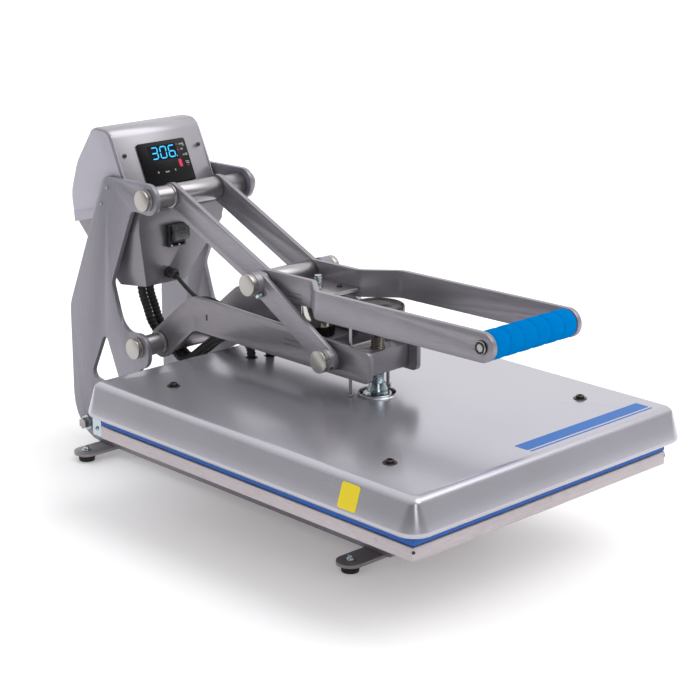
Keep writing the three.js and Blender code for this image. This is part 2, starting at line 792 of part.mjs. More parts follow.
// ---- flexible leads, as points of their centre lines ----
const CONDUIT_SPLIT = { x: 6.2, y: 588, z: 131 };
const CONDUIT_ENDS = [
  [-12, 458],
  [9, 448],
];
const CONDUIT_X = [-29.5, -17];

function conduitTower(i) {
  const x = CONDUIT_X[i];
  const far = i ? CONDUIT_SPLIT.x : -CONDUIT_SPLIT.x;
  return [
    [x - 14, 629, 225.4],
    [x - 13, 628, 214],
    [x - 8, 627, 197],
    [x - 2, 625, 176],
    [(x + far) / 2, 622, 154],
    [far, 614, 136],
    [far, 600, 129.6],
    [far, CONDUIT_SPLIT.y + 1.5, CONDUIT_SPLIT.z],
  ];
}

function conduitArm(i) {
  const far = i ? CONDUIT_SPLIT.x : -CONDUIT_SPLIT.x;
  const [endX, endY] = CONDUIT_ENDS[i];
  return [
    [far, CONDUIT_SPLIT.y - 1.5, CONDUIT_SPLIT.z + 0.6],
    [far, 574, 138.5],
    [far, 556, 152],
    [far, 534, 167],
    [(far + endX) / 2, 506, 178],
    [endX, endY + 18, 181],
    [endX, endY + 3.5, 176],
    [endX, endY, 164],
    [endX, endY, 156],
  ];
}

const LEAD_TOWER = [
  [GLAND.x, BOX.front - 0.5, GLAND.z],
  [GLAND.x, 589, GLAND.z],
  [-22.4, 577, 236.5],
  [-21.8, 565, 229],
  [-21.2, 555, 223.6],
  [-20.4, 548.5, 220.6],
  [-18.6, 546, 219.6],
  [-15.1, 545.5, 219.4],
];
const LEAD_ARM = [
  [-14.8, 545.5, 219.4],
  [-11, 545, 219.2],
  [-6.5, 541.5, 218],
  [-3, 533, 215.6],
  [0, 517, 209.6],
  [0, 490, 201],
  [0, 450, 198],
  [0, 420, 198],
  [0, MAGNET_Y + 34, 200],
  [0, MAGNET_Y + 24, 203],
];

// ---- assembly ----
part("foot_bar_front", footBar(FRONT_FEET), barPaint);
part("foot_bar_rear", footBar(REAR_FEET), barPaint);
for (const [name, side] of SIDES) {
  part("rubber_foot_front_" + name, rubberFoot(side * FRONT_FEET.x, FRONT_FEET.y), blackRubber);
  part("rubber_foot_rear_" + name, rubberFoot(side * REAR_FEET.x, REAR_FEET.y), blackRubber);
}
part("base_beam", baseBeam(), barPaint);
part("pedestal", pedestal(), barPaint);
part(
  "lower_platen",
  platenBody(PLATEN.bottom, PLATEN.bottom + PLATEN.thick, PLATEN.halfWidth, 0, PLATEN.depth),
  aluminium,
);
part(
  "silicone_pad",
  platenBody(PLATEN.bottom + PLATEN.thick + GAP, PAD_TOP, PLATEN.halfWidth - 0.4, 0.4, PLATEN.depth - 0.4),
  blueSilicone,
);
part("tower_web", towerWeb(), paint);
part("rear_tie_rod", tieRod(), steel);
part("upper_pivot_pin", headedPin(UPPER, PIN_END, TOWER.outer + GAP), nickel);
part("lower_pivot_pin", headedPin(LOWER, PIN_END, TOWER.outer + GAP), nickel);
for (const [name, side] of SIDES) {
  part("tower_plate_" + name, towerPlate(side), paint);
  part("upper_spacer_" + name, towerSpacer(UPPER, side, LEVER.outer + GAP), steel);
  part("lower_spacer_" + name, towerSpacer(LOWER, side, ARM.outer + GAP), steel);
  part("hood_side_" + name, hoodSide(side), paint);
}
part("hood_cover", hoodCover(), paint);
part("display_panel", displayPanel(), glossBlack);
part("control_box", controlBox(), paint);
part("switch_frame", switchFrame(), blackPlastic);
part("power_rocker", rocker(), blackPlastic);
part("cable_gland", cableGland(), blackPlastic);
part("power_inlet", powerInlet(), blackPlastic);
["left", "right"].forEach((name, i) => {
  part("conduit_" + name + "_tower", flexible(conduitTower(i), CONDUIT, 22), blackRubber);
  part("conduit_" + name + "_arm", flexible(conduitArm(i), CONDUIT, 26), blackRubber);
});
part("magnet_lead_tower", flexible(LEAD_TOWER, LEAD, 12), blackRubber);
part("magnet_lead_arm", flexible(LEAD_ARM, LEAD, 36), blackRubber);

for (const [name, side] of SIDES) {
  part("arm_" + name, armPlate(side), paint);
  part("lever_" + name, lever(side), paint);
  part("short_link_" + name, shortLink(side), paint);
  part("knee_stub_" + name, kneeStub(side), nickel);
  part("guide_rod_" + name, guideRod(side), steel);
}
part("arm_pivot_tube", spacerTube(LOWER, -ARM.inner + GAP, ARM.inner - GAP, TUBE + 1), steel);
part("front_block", frontBlock(), paint);
part("magnet_mount", magnetMount(), paint);
part("electromagnet", electromagnet(), steel);
part("front_pin", headedPin(NOSE, NOSE_BOSS + 8, NOSE_BOSS + GAP), nickel);

part("heat_cover", heatCover(), coverPaint);
part("heat_platen", heatPlaten(), aluminium);
part("spindle_socket", spindleSocket(), steel);
part("spindle", spindle(), steel);
part("pressure_knob", pressureKnob(), blackPlastic);

part("upper_tube", spacerTube(UPPER, -LEVER.inner + GAP, LEVER.inner - GAP, TUBE + 1), steel);
part("knee_tube", kneeTube(), steel);
part("strike_plate", strikePlate(), steel);
part("grip_rod", gripRod(), steel);
part("grip", grip(), blueFoam);

export default press;
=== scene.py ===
import json
import math

import bmesh
import bpy
from mathutils import Matrix, Vector


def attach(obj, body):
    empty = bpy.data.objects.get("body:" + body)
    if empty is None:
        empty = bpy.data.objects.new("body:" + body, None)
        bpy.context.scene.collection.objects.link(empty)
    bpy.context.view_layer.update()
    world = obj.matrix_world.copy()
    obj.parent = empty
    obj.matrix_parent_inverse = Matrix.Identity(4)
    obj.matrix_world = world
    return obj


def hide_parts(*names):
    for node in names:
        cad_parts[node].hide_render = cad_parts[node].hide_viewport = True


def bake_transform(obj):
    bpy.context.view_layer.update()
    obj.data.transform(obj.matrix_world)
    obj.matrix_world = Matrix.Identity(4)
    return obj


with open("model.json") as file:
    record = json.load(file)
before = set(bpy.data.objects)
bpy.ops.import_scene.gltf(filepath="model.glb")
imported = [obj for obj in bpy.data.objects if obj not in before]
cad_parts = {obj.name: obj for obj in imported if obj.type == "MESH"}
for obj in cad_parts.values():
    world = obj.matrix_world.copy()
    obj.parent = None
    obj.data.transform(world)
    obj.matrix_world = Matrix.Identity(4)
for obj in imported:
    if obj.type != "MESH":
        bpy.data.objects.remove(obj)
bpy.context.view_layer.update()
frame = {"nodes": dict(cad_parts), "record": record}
NODES = frame["nodes"]
scene = bpy.context.scene
TAU = 2 * math.pi

# ---------------------------------------------------------------- frame
MM = 0.001
SHIFT_Y = 359.5  # the CAD script's Y runs from the bed's front edge, in millimetres


def at(x, y, z):
    """A point in the CAD script's millimetres, as a point of the row frame."""
    return Vector((x * MM, (y - SHIFT_Y) * MM, z * MM))


def link(obj):
    scene.collection.objects.link(obj)
    return obj


UP = Vector((0, 0, 1))
FRONT = Vector((0, -1, 0))
SIDES = ((-1, "left"), (1, "right"))

# places that several pieces share, in the CAD script's millimetres
BED_HALF = 203.2
BED_REAR = 508.0
COVER_TOP = 162.4
SPINDLE_Y = 255
MAGNET_Y = 353
GRIP_Y, GRIP_Z = 36, 278.5
GLAND_X, GLAND_Z = -22.7, 244
WIRE_HOLES = ((-12, 458), (9, 448))


# ---------------------------------------------------------------- camera
AZIMUTH, ELEVATION, ROLL = math.radians(-44.09), math.radians(16.78), math.radians(0.14)
CAMERA_PLACE = (-1.43217, -1.53808, 0.82440)
back = Vector(
    (
        math.sin(AZIMUTH) * math.cos(ELEVATION),
        -math.cos(AZIMUTH) * math.cos(ELEVATION),
        math.sin(ELEVATION),
    )
)
right = UP.cross(back).normalized()
up = back.cross(right)
rolled_right = right * math.cos(ROLL) + up * math.sin(ROLL)
rolled_up = up * math.cos(ROLL) - right * math.sin(ROLL)
camera_data = bpy.data.cameras.new("camera")
camera_data.lens = 96.5  # millimetres, on the sensor width below
camera_data.sensor_width = 36
camera_data.clip_end = 50
camera = link(bpy.data.objects.new("camera", camera_data))
camera_turn = Matrix((rolled_right, rolled_up, back)).transposed().to_4x4()
camera.matrix_world = Matrix.Translation(CAMERA_PLACE) @ camera_turn
scene.camera = camera


# ---------------------------------------------------------------- materials
def linear(r, g, b):
    """An 8-bit screen colour as linear RGBA."""

    def channel(c):
        return ((c / 255 + 0.055) / 1.055) ** 2.4 if c > 10 else c / 255 / 12.92

    return (channel(r), channel(g), channel(b), 1.0)


class Tree:
    """A short way to write a material's node tree."""

    def __init__(self, name):
        self.material = bpy.data.materials.new(name)
        self.material.use_nodes = True
        self.tree = self.material.node_tree
        self.shader = self.tree.nodes["Principled BSDF"]

    def add(self, kind, inputs=None, **settings):
        node = self.tree.nodes.new("ShaderNode" + kind)
        for key, value in settings.items():
            setattr(node, key, value)
        for key, value in (inputs or {}).items():
            node.inputs[key].default_value = value
        return node

    def wire(self, out, into):
        self.tree.links.new(out, into)

    def ranged(self, out, low, high, from_low=0.0, from_high=1.0):
        node = self.add("MapRange", {1: from_low, 2: from_high, 3: low, 4: high})
        self.wire(out, node.inputs[0])
        return node.outputs[0]

    def noise(self, scale, detail=3.0, stretch=None, rough=0.55):
        coords = self.add("TexCoord").outputs["Object"]
        if stretch:
            mapping = self.add("Mapping", {"Scale": stretch})
            self.wire(coords, mapping.inputs["Vector"])
            coords = mapping.outputs["Vector"]
        node = self.add("TexNoise", {"Scale": scale, "Detail": detail, "Roughness": rough})
        self.wire(coords, node.inputs["Vector"])
        return node.outputs["Fac"]

    def math(self, operation, first, second):
        node = self.add("Math", operation=operation)
        for i, value in enumerate((first, second)):
            if isinstance(value, (int, float)):
                node.inputs[i].default_value = value
            else:
                self.wire(value, node.inputs[i])
        return node.outputs[0]


def surface(
    name,
    colour,
    rough=0.45,
    metal=0.0,
    grain=1400.0,
    bump=0.06,
    mottle=0.06,
    speck=0.05,
    stretch=None,
    spread=0.08,
    coat=0.0,
    worn=None,
    shine=0.5,
):
    """Grain in colour, roughness and bump, slow drift of tone, and patches of a worn colour if given."""
    t = Tree(name)
    t.shader.inputs["Metallic"].default_value = metal
    t.shader.inputs["Coat Weight"].default_value = coat
    t.shader.inputs["Coat Roughness"].default_value = 0.1
    t.shader.inputs["Specular IOR Level"].default_value = shine
    fine = t.noise(grain, 3.0, stretch)
    slow = t.noise(7.0, 5.0)
    drift = t.ranged(slow, 1 - mottle, 1 + mottle, 0.3, 0.7)
    specks = t.ranged(fine, 1 - speck, 1 + speck, 0.3, 0.7)
    tone = t.math("MULTIPLY", drift, specks)
    base = t.add("VectorMath", operation="SCALE")
    base.inputs[0].default_value = colour[:3]
    t.wire(tone, base.inputs["Scale"])
    colour_out = base.outputs[0]
    if worn:
        scratch = t.noise(60.0, 6.0, (1, 1, 1), 0.7)
        mix = t.add("Mix", {"B": worn}, data_type="RGBA")
        t.wire(colour_out, mix.inputs["A"])
        t.wire(t.ranged(scratch, 0.0, 0.55, 0.6, 0.74), mix.inputs["Factor"])
        colour_out = mix.outputs["Result"]
    t.wire(colour_out, t.shader.inputs["Base Color"])
    blend = t.math("ADD", t.math("MULTIPLY", slow, 0.6), t.math("MULTIPLY", fine, 0.4))
    smoothest = max(rough - spread, 0.03)
    t.wire(t.ranged(blend, smoothest, rough + spread, 0.3, 0.7), t.shader.inputs["Roughness"])
    relief = t.add("Bump", {"Strength": bump, "Distance": 0.0004})
    t.wire(fine, relief.inputs["Height"])
    t.wire(relief.outputs["Normal"], t.shader.inputs["Normal"])
    return t.material


BRUSHED_Y = (1.0, 0.04, 1.0)  # grain drawn out along Y
BRUSHED_X = (0.04, 1.0, 1.0)
BRUSHED_Z = (1, 1, 0.06)
# nodes whose finish differs from the rest of their material slot; the control box gets a darkened copy of the
# hood paint, a painted shade
OWN_SURFACE = {"hood_side_left": "hood_side", "hood_side_right": "hood_side", "control_box": "box_paint"}
FINISHES = {  # screen colour, roughness, metal, scale of grain, bump, mottle, speck and what else differs
    "frame_paint": ((143, 140, 149), 0.4, 0.5, 900, 0.08, 0.09, 0.09, {"stretch": BRUSHED_Z}),
    "hood_paint": ((168, 165, 171), 0.3, 0.7, 1100, 0.02, 0.04, 0.02, {}),
    # the hood paint darkened for the control box: painted shade
    "box_paint": ((134, 130, 136), 0.34, 0.6, 1100, 0.02, 0.05, 0.02, {}),
    "arm_paint": ((138, 134, 140), 0.38, 0.6, 1100, 0.09, 0.1, 0.1, {"stretch": BRUSHED_Y}),
    "lever_paint": ((148, 144, 151), 0.38, 0.55, 1100, 0.09, 0.1, 0.1, {"stretch": BRUSHED_Y}),
    "base_paint": ((150, 146, 148), 0.4, 0.5, 900, 0.06, 0.08, 0.06, {"stretch": BRUSHED_X}),
    "cover_paint": ((182, 180, 188), 0.25, 0.7, 1500, 0.004, 0.025, 0.008, {"coat": 0.2, "spread": 0.025}),
    "platen_aluminium": (
        (182, 174, 177), 0.4, 0.75, 1300, 0.12, 0.09, 0.12,
        {"stretch": (0.05, 0.05, 1.0), "worn": linear(140, 130, 132)},
    ),
    "hood_side": ((180, 177, 190), 0.46, 0.15, 1100, 0.05, 0.04, 0.03, {}),
    "pin_face": ((178, 174, 170), 0.34, 0.9, 1500, 0.06, 0.1, 0.08, {"worn": linear(126, 120, 114)}),
    "pad_silicone": ((28, 92, 176), 0.5, 0.0, 900, 0.1, 0.06, 0.04, {"shine": 0.3}),
    "foot_rubber": ((26, 25, 26), 0.7, 0.0, 1200, 0.2, 0.1, 0.08, {}),
    "pin_nickel": ((172, 168, 164), 0.3, 0.95, 1500, 0.05, 0.08, 0.08, {"worn": linear(128, 120, 112)}),
    "turned_steel": ((165, 162, 164), 0.33, 0.95, 1500, 0.08, 0.06, 0.08, {"stretch": (1.0, 0.08, 0.08)}),
    "magnet_chrome": ((200, 196, 192), 0.14, 1.0, 1500, 0.03, 0.04, 0.04, {}),
    "spindle_black": ((18, 16, 16), 0.22, 0.2, 1500, 0.06, 0.1, 0.08, {}),
    "display_gloss": ((5, 4, 5), 0.22, 0.0, 700, 0.01, 0.05, 0.03, {"spread": 0.04, "shine": 0.18}),
    "switch_plastic": ((24, 23, 25), 0.42, 0.0, 1600, 0.12, 0.08, 0.06, {}),
    "cable_black": ((24, 23, 24), 0.5, 0.0, 900, 0.3, 0.12, 0.12, {}),
    "grip_foam": ((0, 120, 194), 0.66, 0.0, 1300, 0.35, 0.07, 0.06, {"shine": 0.0}),
    "zinc": ((176, 190, 196), 0.22, 1.0, 1500, 0.05, 0.05, 0.08, {}),
    "dark_steel": ((66, 60, 58), 0.3, 0.85, 1500, 0.08, 0.1, 0.1, {}),
    "brass_race": ((190, 176, 96), 0.25, 1.0, 1500, 0.05, 0.06, 0.06, {}),
    "label_white": ((232, 232, 230), 0.5, 0.0, 800, 0.03, 0.03, 0.03, {}),
    "label_yellow": ((238, 214, 20), 0.4, 0.0, 800, 0.03, 0.03, 0.03, {"coat": 0.2}),
    "stripe_blue": ((34, 104, 182), 0.35, 0.0, 900, 0.03, 0.04, 0.04, {"shine": 0.15}),
    # dark joints, and the painted shade inside slots, holes and screw recesses
    "seam_dark": ((52, 49, 53), 0.6, 0.3, 900, 0.1, 0.1, 0.1, {}),
    "icon_grey": ((150, 150, 152), 0.5, 0.0, 900, 0.02, 0.05, 0.05, {}),
    "icon_red": ((150, 20, 50), 0.4, 0.0, 900, 0.02, 0.05, 0.05, {}),
    "digit_window": ((2, 16, 34), 0.3, 0.0, 900, 0.02, 0.05, 0.05, {"shine": 0.1}),
}
MATERIALS = {}
for name, (colour, *numbers, more) in FINISHES.items():
    MATERIALS[name] = surface(name, linear(*colour), *numbers, **more)


def glowing(name, colour, strength):
    """A lit colour whose brightness drifts a little."""
    t = Tree(name)
    t.shader.inputs["Base Color"].default_value = colour
    t.shader.inputs["Roughness"].default_value = 0.3
    t.shader.inputs["Emission Color"].default_value = colour
    t.wire(t.ranged(t.noise(420.0), strength * 0.8, strength * 1.15), t.shader.inputs["Emission Strength"])
    return t.material


MATERIALS["digit_blue"] = glowing("digit_blue", linear(40, 185, 240), 0.75)
MATERIALS["led_red"] = glowing("led_red", linear(200, 16, 60), 0.35)


def clear_plastic():
    """The slightly milky plastic of the cover over the switch."""
    t = Tree("clear_hood")
    t.shader.inputs["Roughness"].default_value = 0.12
    t.shader.inputs["Transmission Weight"].default_value = 0.85
    t.shader.inputs["IOR"].default_value = 1.45
    t.shader.inputs["Alpha"].default_value = 0.75
    base = t.add("VectorMath", operation="SCALE")
    base.inputs[0].default_value = linear(190, 188, 192)[:3]
    t.wire(t.ranged(t.noise(90.0), 0.9, 1.08), base.inputs["Scale"])
    t.wire(base.outputs[0], t.shader.inputs["Base Color"])
    return t.material


MATERIALS["clear_hood"] = clear_plastic()


# ---------------------------------------------------------------- mesh tools
def build(name, verts, faces, material, body, edge=0.0, slot=None, replaces=(), segments=2, angle=30):
    """A piece from vertices in the row frame; it rides on body, with rounded edges where asked."""
    mesh = bpy.data.meshes.new(name)
    mesh.from_pydata([tuple(v) for v in verts], [], faces)
    shell = bmesh.new()
    shell.from_mesh(mesh)
    bmesh.ops.remove_doubles(shell, verts=shell.verts, dist=1e-6)
    bmesh.ops.recalc_face_normals(shell, faces=shell.faces)
    shell.to_mesh(mesh)
    shell.free()
    mesh.shade_smooth()
    if not edge:
        mesh.set_sharp_from_angle(angle=math.radians(angle))
    mesh.materials.append(MATERIALS[material])
    obj = link(bpy.data.objects.new(name, mesh))
    if edge:
        soften(obj, edge, segments, angle)
    if body:
        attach(obj, body)
    if replaces:
        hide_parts(*replaces)
    return obj


def soften(obj, width, segments=2, angle=30):
    """Rounds the edges sharper than angle degrees."""
    bevel = obj.modifiers.new("edges", "BEVEL")
    bevel.width = width
    bevel.segments = segments
    bevel.limit_method = "ANGLE"
    bevel.angle_limit = math.radians(angle)
    bevel.harden_normals = True


def frame_of(normal, spin=0.0):
    """A rotation whose Z is normal."""
    return Vector(normal).normalized().to_track_quat("Z", "Y").to_matrix() @ Matrix.Rotation(spin, 3, "Z")


def tube_faces(rings, sides):
    """The four-sided faces between rings of vertices that follow each other."""
    faces = []
    for k in range(rings - 1):
        for i in range(sides):
            j = (i + 1) % sides
            faces.append((k * sides + i, k * sides + j, (k + 1) * sides + j, (k + 1) * sides + i))
    return faces


def turned(name, profile, place, normal, material, body, sides=28, hexagons=(), spin=0.0, **more):
    """A turned piece: profile is [(radius, height)] in mm along normal; hexagons lists six-sided rings."""
    turn = frame_of(normal, spin)
    verts, faces = [], []
    for k, (radius, height) in enumerate(profile):
        for i in range(sides):
            a = i / sides * TAU
            r = radius
            if k in hexagons:
                r = radius / math.cos((a + math.pi / 6) % (math.pi / 3) - math.pi / 6)
            verts.append(place + turn @ Vector((r * math.cos(a), r * math.sin(a), height)) * MM)
    faces += tube_faces(len(profile), sides)
    if profile[0][0] > 0.01:
        faces.append(tuple(range(sides))[::-1])
    if profile[-1][0] > 0.01:
        faces.append(tuple(range((len(profile) - 1) * sides, len(profile) * sides)))
    return build(name, verts, faces, material, body, **more)


def prism(name, outline, place, across, upward, depth, material, body, **more):
    """An outline [(u, v)] in mm on the plane of across and upward, depth mm thick along their normal."""
    across, upward = Vector(across).normalized(), Vector(upward).normalized()
    out = across.cross(upward)
    count = len(outline)
    verts = [place + (across * u + upward * v) * MM for u, v in outline]
    verts += [v + out * depth * MM for v in verts]
    faces = [tuple(range(count))[::-1], tuple(range(count, 2 * count))]
    faces += [(i, (i + 1) % count, (i + 1) % count + count, i + count) for i in range(count)]
    return build(name, verts, faces, material, body, **more)


def rounded(points, step=8.0):
    """[(u, v, radius)] with each corner swapped for an arc."""
    out = []
    for i, (u, v, radius) in enumerate(points):
        here = Vector((u, v))
        if radius <= 0:
            out.append(here)
            continue
        before, after = Vector(points[i - 1][:2]), Vector(points[(i + 1) % len(points)][:2])
        a, b = (before - here).normalized(), (after - here).normalized()
        half = math.acos(max(-1.0, min(1.0, a.dot(b)))) / 2
        centre = here + (a + b).normalized() * radius / math.sin(half)
        start, end = here + a * radius / math.tan(half) - centre, here + b * radius / math.tan(half) - centre
        turn = math.atan2(start.x * end.y - start.y * end.x, start.dot(end))
        count = max(2, round(abs(math.degrees(turn)) / step))
        for k in range(count + 1):
            s, c = math.sin(turn * k / count), math.cos(turn * k / count)
            out.append(centre + Vector((start.x * c - start.y * s, start.x * s + start.y * c)))
    return [(p.x, p.y) for p in out]


def rectangle(u0, u1, v0, v1, radius):
    """The corners of a rectangle, as rounded() takes them."""
    return [(u0, v0, radius), (u1, v0, radius), (u1, v1, radius), (u0, v1, radius)]


def curve_points(points, count):
    """A smooth line through points, evenly spaced."""
    control = [points[0] * 2 - points[1], *points, points[-1] * 2 - points[-2]]
    dense = []
    for i in range(1, len(control) - 2):
        p0, p1, p2, p3 = control[i - 1 : i + 3]
        square, cube = 2 * p0 - 5 * p1 + 4 * p2 - p3, 3 * p1 - p0 - 3 * p2 + p3
        for k in range(24):
            t = k / 24
            dense.append(0.5 * (2 * p1 + (p2 - p0) * t + square * t * t + cube * t**3))
    dense.append(points[-1].copy())
    lengths = [0.0]
    for a, b in zip(dense, dense[1:]):
        lengths.append(lengths[-1] + (b - a).length)
    out, j = [], 0
    for k in range(count):
        want = lengths[-1] * k / (count - 1)
        while j < len(lengths) - 2 and lengths[j + 1] < want:
            j += 1
        f = (want - lengths[j]) / max(lengths[j + 1] - lengths[j], 1e-9)
        out.append(dense[j].lerp(dense[j + 1], min(max(f, 0.0), 1.0)))
    return out, lengths[-1]


def sleeve(name, points, radius, material, body, count, sides=16, ridge=0.0, pitch=3.0, starts=2, **more):
    """A tube along points; ridge mm of wound rib at the given pitch in mm."""
    line, length = curve_points(points, count)
    verts, faces = [], []
    normal = None
    for k, p in enumerate(line):
        tangent = (line[min(k + 1, count - 1)] - line[max(k - 1, 0)]).normalized()
        if normal is None:
            normal = tangent.orthogonal().normalized()
        normal = (normal - tangent * normal.dot(tangent)).normalized()
        side = tangent.cross(normal)
        travel = length * k / (count - 1) / MM
        for i in range(sides):
            a = i / sides * TAU
            wave = 0.5 + 0.5 * math.cos(starts * a + travel / pitch * TAU)
            r = (radius - ridge + ridge * wave) * MM
            verts.append(p + (normal * math.cos(a) + side * math.sin(a)) * r)
    faces += tube_faces(count, sides)
    faces += [tuple(range(sides))[::-1], tuple(range((count - 1) * sides, count * sides))]
    return build(name, verts, faces, material, body, angle=80, **more)


# ---------------------------------------------------------------- CAD nodes that stay
REPLACED = {
    "heat_cover", "pressure_knob", "spindle", "grip", "electromagnet",
    "conduit_left_tower", "conduit_left_arm", "conduit_right_tower", "conduit_right_arm",
    "magnet_lead_tower", "magnet_lead_arm",
}
USUAL_EDGE = 0.0007  # how far edges are rounded, in metres
OWN_EDGE = {
    "lower_platen": 0.0001, "silicone_pad": 0.0001, "hood_cover": 0.0005, "display_panel": 0.0003,
    "knee_tube": 0.0004, "control_box": 0.0016, "guide_rod_left": 0.0002, "guide_rod_right": 0.0002,
}
WELD_DISTANCE = 2e-6
FLAT_ANGLE = math.radians(0.4)  # faces closer to one plane than this become one face
node_slot = {s["node"]: s["material_slot"] for s in frame["record"]["subparts"]}
for name, node in NODES.items():
    for slot in node.material_slots:
        slot.material = MATERIALS[OWN_SURFACE.get(name, node_slot[name])]
    if name in REPLACED:
        continue
    node.data.shade_smooth()
    weld = node.modifiers.new("weld", "WELD")
    weld.merge_threshold = WELD_DISTANCE
    flat = node.modifiers.new("flat", "DECIMATE")
    flat.decimate_type = "DISSOLVE"
    flat.angle_limit = FLAT_ANGLE
    soften(node, OWN_EDGE.get(name, USUAL_EDGE), 2, 28)

# ---------------------------------------------------------------- heat cover
COVER_LEVELS = [  # how far the skin stands proud of the bed, its plan corner radius and its height
    (12.6, 20.6, 122.5),
    (14.0, 22.0, 122.8),
    (15.2, 23.2, 123.8),
    (15.8, 23.8, 125.2),
    (16.0, 24.0, 127.0),
    (15.7, 23.6, 128.6),
    (11.0, 16.5, 142.2),
    (6.9, 10.4, 155.0),
    (6.3, 9.9, 156.6),
    (5.2, 9.2, 158.4),
    (3.5, 8.4, 160.1),
    (1.5, 7.5, 161.4),
    (-0.9, 6.6, 162.15),
    (-3.4, 6.0, COVER_TOP),
]
WALL = 2.0
UNDER_TOP = COVER_TOP - WALL
HOLE_RADIUS = 21.0
WIRE_HOLE_RADIUS = 7.5
COLLAR = [  # radius and height of the raised lip round the spindle's hole
    (24.6, COVER_TOP),
    (23.6, 163.2),
    (23.0, 164.2),
    (22.2, 164.6),
    (21.4, 164.5),
    (HOLE_RADIUS, 163.8),
    (HOLE_RADIUS, UNDER_TOP),
]


def circle(x, y, radius, z, sides):
    """A level ring of points, in the CAD script's millimetres."""
    turns = [i / sides * TAU for i in range(sides)]
    return [(x + radius * math.cos(a), y + radius * math.sin(a), z) for a in turns]


def cover():
    """The cover's whole skin: outside, inside, collar and the two holes for the wires."""

    def level(proud, corner, z):
        outline = rectangle(-BED_HALF - proud, BED_HALF + proud, -proud, BED_REAR + proud, corner)
        return [(x, y, z) for x, y in rounded(outline, 6)]

    rings = [level(*row) for row in COVER_LEVELS]
    inner = []
    for proud, corner, z in reversed(COVER_LEVELS):
        sink = WALL * min(max((z - 150) / 10, 0.25), 1.0) if z > 123.5 else 0.0
        inner.append(level(proud - WALL, corner - WALL, z - sink))
    mesh = bmesh.new()

    def ring(points):
        return [mesh.verts.new(at(*p)) for p in points]

    def band(a, b):
        for i in range(len(a)):
            j = (i + 1) % len(a)
            mesh.faces.new((a[i], a[j], b[j], b[i]))

    def sheet(outer, holes):
        edges = []
        for loop in (outer, *holes):
            for i in range(len(loop)):
                edge = mesh.edges.get((loop[i], loop[(i + 1) % len(loop)]))
                edges.append(edge or mesh.edges.new((loop[i], loop[(i + 1) % len(loop)])))
        bmesh.ops.triangle_fill(mesh, edges=edges, use_beauty=True)

    outside = [ring(r) for r in rings]
    inside = [ring(r) for r in inner]
    collars = [ring(circle(0, SPINDLE_Y, radius, z, 48)) for radius, z in COLLAR]
    for a, b in zip(outside, outside[1:]):
        band(a, b)
    for a, b in zip(inside, inside[1:]):
        band(a, b)
    band(outside[0], inside[-1])
    for a, b in zip(collars, collars[1:]):
        band(a, b)
    wires = []
    for x, y in WIRE_HOLES:
        top = ring(circle(x, y, WIRE_HOLE_RADIUS, COVER_TOP, 20))
        low = ring(circle(x, y, WIRE_HOLE_RADIUS, UNDER_TOP, 20))
        band(top, low)
        wires.append((top, low))
    sheet(outside[-1], [collars[0], wires[0][0], wires[1][0]])
    sheet(inside[0], [collars[-1], wires[0][1], wires[1][1]])
    bmesh.ops.recalc_face_normals(mesh, faces=mesh.faces)
    data = bpy.data.meshes.new("cover_shell")
    mesh.to_mesh(data)
    mesh.free()
    data.shade_smooth()
    data.set_sharp_from_angle(angle=math.radians(32))
    data.materials.append(MATERIALS["cover_paint"])
    obj = link(bpy.data.objects.new("cover_shell", data))
    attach(obj, "platen")
    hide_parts("heat_cover")


cover()


def socket_screw(name, place, normal, radius, height, material, body, socket=0.5, washer=0.0, sides=28):
    """A button-head screw with a hexagon socket, and a washer of the given radius under it if asked."""
    seat = 1.0 if washer else 0.0
    hole = radius * socket
    profile = []
    if washer:
        profile += [(washer, 0.0), (washer, seat * 0.7), (washer - 0.5, seat)]
    profile += [
        (radius, seat),
        (radius, seat + height * 0.45),
        (radius * 0.93, seat + height * 0.78),
        (radius * 0.76, seat + height),
        (radius * socket * 1.12, seat + height),
        (hole, seat + height - 0.25),
        (hole, seat + height * 0.35),
        (0.005, seat + height * 0.3),
    ]
    last = len(profile) - 1
    return turned(name, profile, place, normal, material, body, sides, hexagons=(last - 1, last - 2))


def hex_nut(name, place, normal, across, height, material, body, bore=0.0, spin=0.0):
    """A nut across mm wide over its flats, open to the given bore if there is one."""
    r = across / 2
    profile = [(r * 0.93, 0.0), (r, height * 0.12), (r, height * 0.85), (r * 0.92, height)]
    if bore:
        profile += [(bore, height), (bore, height - 0.6)]
    else:
        profile += [(r * 0.5, height)]
    return turned(name, profile, place, normal, material, body, 24, hexagons=(1, 2), spin=spin)


def cross_screw(name, place, normal, radius, material, body, spin=0.3):
    """A pan head with a cross recess, drawn as a thin dark cross laid on the head: painted shade."""
    head = turned(
        name,
        [(radius, 0), (radius, 0.6), (radius * 0.9, 1.2), (radius * 0.6, 1.6), (0.01, 1.8)],
        place, normal, material, body, 20,
    )
    turn = frame_of(normal, spin)
    outline, half_width, reach = [], radius * 0.14, radius * 0.62
    for k in range(4):
        c, s = math.cos(k * math.pi / 2), math.sin(k * math.pi / 2)
        for u, v in ((reach, -half_width), (reach, half_width), (half_width, half_width)):
            outline.append((u * c - v * s, u * s + v * c))
    place_up = place + turn @ Vector((0, 0, 1.35)) * MM
    across, upward = turn @ Vector((1, 0, 0)), turn @ Vector((0, 1, 0))
    # the recess as a thin dark cross: painted shade
    prism(name + "_cross", outline, place_up, across, upward, 0.5, "seam_dark", body)
    return head


COVER_BOLTS = ((-152, 84), (152, 84), (-151, 435), (151, 435))
for i, (x, y) in enumerate(COVER_BOLTS):
    socket_screw(f"cover_bolt_{i}", at(x, y, 162.3), UP, 5.0, 3.0, "dark_steel", "platen", 0.5, 7.8)

